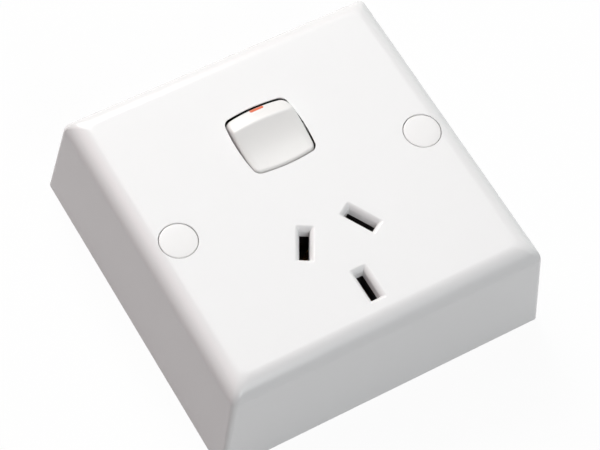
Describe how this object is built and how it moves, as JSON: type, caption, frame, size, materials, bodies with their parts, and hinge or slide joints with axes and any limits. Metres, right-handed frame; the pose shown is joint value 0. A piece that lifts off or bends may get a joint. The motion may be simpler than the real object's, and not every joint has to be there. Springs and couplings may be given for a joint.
{
  "type": "switched socket outlet",
  "caption": "Surface-mounted square socket outlet with a rocker switch over flat-blade slots, flared white cover, capped screws, inner contacts and terminals.",
  "frame": {"origin": "centre of the back, on the wall plane", "axes": "+X to the right-hand screw cap, +Y up the face towards the rocker, +Z out of the face"},
  "size_m": [0.08, 0.08, 0.0302],
  "materials": {
    "cover_white": "glossy white moulding",
    "cap_white": "glossy white press-in cap",
    "rocker_white": "glossy white, slightly warmer than the cover",
    "on_orange": "orange-red inlay",
    "base_white": "matt moulded back plate",
    "housing_black": "dark thermoset moulding",
    "brass": "formed and turned brass",
    "plated_steel": "zinc-plated screws",
    "silver_tip": "silver alloy contact tip",
    "plunger_nylon": "natural nylon",
    "spring_steel": "spring wire"
  },
  "bodies": {
    "casing": {"cover": "cover_white", "screw_cap_left": "cap_white", "screw_cap_right": "cap_white", "cover_screws": "plated_steel", "pillar_inserts": "brass", "base": "base_white", "mechanism_housing": "housing_black", "contact_retainer": "housing_black", "retainer_screws": "plated_steel", "housing_screws": "plated_steel", "switched_active_contact": "brass", "neutral_contact": "brass", "earth_contact": "brass", "fixed_contact": "brass", "fixed_contact_tip": "silver_tip", "clamp_screws": "plated_steel", "active_terminal": "brass", "loop_terminal": "brass", "neutral_terminal": "brass", "earth_terminal": "brass"},
    "rocker": {"rocker": "rocker_white", "on_mark": "on_orange", "plunger_spring": "spring_steel"},
    "plunger": {"plunger": "plunger_nylon"},
    "contact_arm": {"contact_arm": "brass", "contact_arm_tip": "silver_tip"}
  },
  "joints": [
    {"name": "rocker_tilt", "type": "hinge", "parent": "casing", "child": "rocker", "pos_m": [0, 0.0139, 0.0246], "axis": [-1, 0, 0], "range_deg": [0, 14]},
    {"name": "arm_tilt", "type": "hinge", "parent": "casing", "child": "contact_arm", "pos_m": [0, 0.0139, 0.0126], "axis": [-1, 0, 0], "range_deg": [-18, 0]},
    {"name": "plunger_slide", "type": "slide", "parent": "rocker", "child": "plunger", "axis": [0, -0.1219, 0.9925], "range_m": [0, 0.0006], "stiffness_N_per_m": 400, "springref_m": -0.002, "deforming": ["plunger_spring"]}
  ],
  "couplings": [
    {"joint": "arm_tilt", "follows": "rocker_tilt", "ratio": -1.2857}
  ]
}
